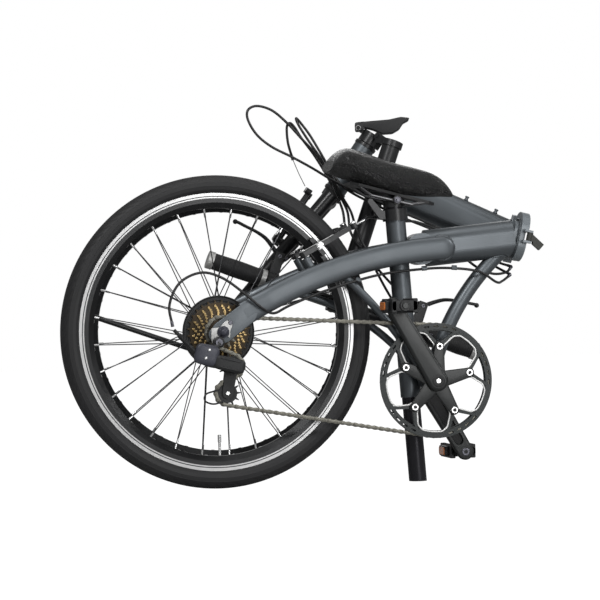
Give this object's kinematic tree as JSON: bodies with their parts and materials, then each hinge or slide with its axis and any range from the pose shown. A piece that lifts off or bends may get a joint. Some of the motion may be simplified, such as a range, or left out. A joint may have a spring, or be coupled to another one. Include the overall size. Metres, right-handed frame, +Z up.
{
  "type": "folding bicycle",
  "caption": "Folded bicycle with a hinged main tube, a folded handlepost and bar between the wheels, a lowered seat post it stands on, crank drive and derailleur.",
  "frame": {"origin": "centre of the seat post's foot on the floor", "axes": "+X from the rear wheel towards the frame hinge, +Y away from the drive side, +Z up"},
  "size_m": [0.92, 0.4322, 0.7261],
  "materials": {
    "frame": "satin blue-grey paint",
    "black_metal": "satin black",
    "silver": "brushed",
    "pale_hinge": "satin pale grey",
    "dark_steel": "dark",
    "tyre": "matt rubber",
    "rim": "black with a bright brake track",
    "plastic": "moulded",
    "rubber": "moulded",
    "leather": "grained",
    "cogs": "golden brown",
    "chain": "oiled"
  },
  "bodies": {
    "rear_frame": {"rear_frame": "frame", "down_strut": "frame", "stay_right": "frame", "stay_left": "frame", "lower_struts": "frame", "hinge_plate_rear": "pale_hinge", "derailleur_hanger": "silver", "rear_axle": "dark_steel", "seat_clamp": "black_metal", "bracket_cups": "silver", "rear_brake_cable": "plastic", "shift_cable": "plastic", "chain": "chain", "derailleur_body": "plastic"},
    "seat": {"seat_post": "black_metal", "saddle_clamp": "black_metal", "saddle_rails": "silver", "saddle_base": "plastic", "saddle_cushion": "leather"},
    "seat_lever": {"seat_lever": "black_metal"},
    "rear_wheel": {"rear_tyre": "tyre", "rear_rim": "rim", "rear_spokes": "silver", "rear_hub": "silver", "rear_valve": "silver", "spoke_guard": "plastic"},
    "cassette": {"cassette": "cogs"},
    "crankset": {"crank_right": "black_metal", "chainring": "black_metal", "crank_bolts": "silver", "crank_left": "black_metal"},
    "pedal_right": {"pedal_right": "plastic"},
    "pedal_left": {"pedal_left": "plastic"},
    "derailleur_cage": {"derailleur_cage": "black_metal"},
    "guide_pulley": {"guide_pulley": "plastic"},
    "tension_pulley": {"tension_pulley": "plastic"},
    "kickstand": {"kickstand": "black_metal"},
    "rear_brake_right": {"rear_brake_right": "black_metal"},
    "rear_brake_left": {"rear_brake_left": "black_metal"},
    "front_frame": {"front_frame": "frame", "hinge_plate_front": "pale_hinge", "headset": "black_metal", "bar_cables": "plastic"},
    "frame_latch": {"frame_latch": "black_metal"},
    "fork": {"fork": "black_metal", "post_base": "black_metal", "front_axle": "dark_steel"},
    "front_wheel": {"front_tyre": "tyre", "front_rim": "rim", "front_spokes": "silver", "front_hub": "silver"},
    "front_brake_right": {"front_brake_right": "black_metal"},
    "front_brake_left": {"front_brake_left": "black_metal"},
    "handlepost": {"handlepost": "black_metal", "handlebar": "black_metal", "grips": "rubber", "lever_mounts": "plastic"},
    "brake_lever_left": {"brake_lever_left": "black_metal"},
    "brake_lever_right": {"brake_lever_right": "black_metal"},
    "post_latch": {"post_latch": "black_metal"}
  },
  "joints": [
    {"name": "frame_fold", "type": "hinge", "parent": "rear_frame", "child": "front_frame", "pos_m": [0.22, 0.042, 0.458], "axis": [-0.2317, 0, -0.9728], "range_deg": [0, 168.5], "deforming": ["bar_cables", "rear_brake_cable", "shift_cable"]},
    {"name": "frame_latch_swing", "type": "hinge", "parent": "rear_frame", "child": "frame_latch", "pos_m": [0.22, -0.042, 0.458], "axis": [-0.2317, 0, -0.9728], "range_deg": [0, 60]},
    {"name": "steering", "type": "hinge", "parent": "front_frame", "child": "fork", "pos_m": [-0.11722, 0.15623, 0.55607], "axis": [0.5761, -0.0757, 0.8138], "range_deg": [-4, 4], "deforming": ["bar_cables"]},
    {"name": "handlepost_fold", "type": "hinge", "parent": "fork", "child": "handlepost", "pos_m": [-0.02421, 0.12477, 0.65809], "axis": [-0.699, -0.6203, 0.3558], "range_deg": [-0.6, 1], "deforming": ["bar_cables"]},
    {"name": "post_latch_swing", "type": "hinge", "parent": "fork", "child": "post_latch", "pos_m": [-0.06579, 0.15196, 0.68146], "axis": [-0.1939, -0.9799, 0.0462], "range_deg": [0, 25]},
    {"name": "front_wheel_spin", "type": "hinge", "parent": "fork", "child": "front_wheel", "pos_m": [-0.34904, 0.18971, 0.29323], "axis": [-0.1939, -0.9799, 0.0462], "continuous": true},
    {"name": "rear_wheel_spin", "type": "hinge", "parent": "rear_frame", "child": "rear_wheel", "pos_m": [-0.38, 0, 0.2935], "axis": [0, 1, 0], "continuous": true},
    {"name": "crank_spin", "type": "hinge", "parent": "rear_frame", "child": "crankset", "pos_m": [0.0275, 0, 0.191], "axis": [0, 1, 0], "range_deg": [-55.38, 55.38], "deforming": ["chain"]},
    {"name": "cassette_spin", "type": "hinge", "parent": "rear_frame", "child": "cassette", "pos_m": [-0.38, 0, 0.2935], "axis": [0, 1, 0], "range_deg": [-240, 240], "deforming": ["chain"]},
    {"name": "guide_pulley_spin", "type": "hinge", "parent": "rear_frame", "child": "guide_pulley", "pos_m": [-0.3625, -0.054, 0.23], "axis": [0, 1, 0], "range_deg": [-300, 300], "deforming": ["chain"]},
    {"name": "tension_pulley_spin", "type": "hinge", "parent": "derailleur_cage", "child": "tension_pulley", "pos_m": [-0.3715, -0.054, 0.18], "axis": [0, 1, 0], "range_deg": [-300, 300], "deforming": ["chain"]},
    {"name": "cage_swing", "type": "hinge", "parent": "rear_frame", "child": "derailleur_cage", "pos_m": [-0.3625, -0.054, 0.23], "axis": [0, 1, 0], "range_deg": [-8, 8], "deforming": ["chain"]},
    {"name": "pedal_right_spin", "type": "hinge", "parent": "crankset", "child": "pedal_right", "pos_m": [-0.055, -0.12, 0.33389], "axis": [0, 1, 0], "continuous": true},
    {"name": "pedal_left_spin", "type": "hinge", "parent": "crankset", "child": "pedal_left", "pos_m": [0.11, 0.12, 0.04811], "axis": [0, 1, 0], "continuous": true},
    {"name": "kickstand_swing", "type": "hinge", "parent": "rear_frame", "child": "kickstand", "pos_m": [-0.4, 0.088, 0.255], "axis": [0, -1, 0], "range_deg": [0, 95]},
    {"name": "rear_brake_right_swing", "type": "hinge", "parent": "rear_frame", "child": "rear_brake_right", "pos_m": [-0.216, -0.044, 0.429], "axis": [-0.4695, 0, 0.8829], "range_deg": [0, 1.8], "deforming": ["rear_brake_cable"]},
    {"name": "rear_brake_left_swing", "type": "hinge", "parent": "rear_frame", "child": "rear_brake_left", "pos_m": [-0.216, 0.044, 0.429], "axis": [0.4695, 0, -0.8829], "range_deg": [0, 1.8], "deforming": ["rear_brake_cable"]},
    {"name": "front_brake_right_swing", "type": "hinge", "parent": "fork", "child": "front_brake_right", "pos_m": [-0.21519, 0.21605, 0.46142], "axis": [0.794, -0.1845, -0.5792], "range_deg": [0, 1.8], "deforming": ["bar_cables"]},
    {"name": "front_brake_left_swing", "type": "hinge", "parent": "fork", "child": "front_brake_left", "pos_m": [-0.23226, 0.12982, 0.46549], "axis": [-0.794, 0.1845, 0.5792], "range_deg": [0, 1.8], "deforming": ["bar_cables"]},
    {"name": "brake_lever_left_pull", "type": "hinge", "parent": "handlepost", "child": "brake_lever_left", "pos_m": [-0.23929, 0.09623, 0.4336], "axis": [-0.014, -0.9987, 0.0488], "range_deg": [0, 15], "stiffness_Nm_per_rad": 0.3},
    {"name": "brake_lever_right_pull", "type": "hinge", "parent": "handlepost", "child": "brake_lever_right", "pos_m": [0.03841, 0.08733, 0.33152], "axis": [0.014, 0.9987, -0.0488], "range_deg": [0, 15], "stiffness_Nm_per_rad": 0.3},
    {"name": "seat_lever_swing", "type": "hinge", "parent": "rear_frame", "child": "seat_lever", "pos_m": [-0.063, 0, 0.506], "axis": [0, -1, 0], "range_deg": [0, 45]},
    {"name": "seat_height", "type": "slide", "parent": "rear_frame", "child": "seat", "axis": [-0.0628, 0, 0.998], "range_m": [0, 0.2]}
  ],
  "couplings": [
    {"joint": "cassette_spin", "follows": "crank_spin", "ratio": 3.7143},
    {"joint": "guide_pulley_spin", "follows": "crank_spin", "ratio": -4.7273},
    {"joint": "tension_pulley_spin", "follows": "crank_spin", "ratio": 4.7273},
    {"joint": "rear_brake_right_swing", "follows": "brake_lever_right_pull", "ratio": 0.12},
    {"joint": "rear_brake_left_swing", "follows": "brake_lever_right_pull", "ratio": 0.12},
    {"joint": "front_brake_right_swing", "follows": "brake_lever_left_pull", "ratio": 0.12},
    {"joint": "front_brake_left_swing", "follows": "brake_lever_left_pull", "ratio": 0.12}
  ]
}
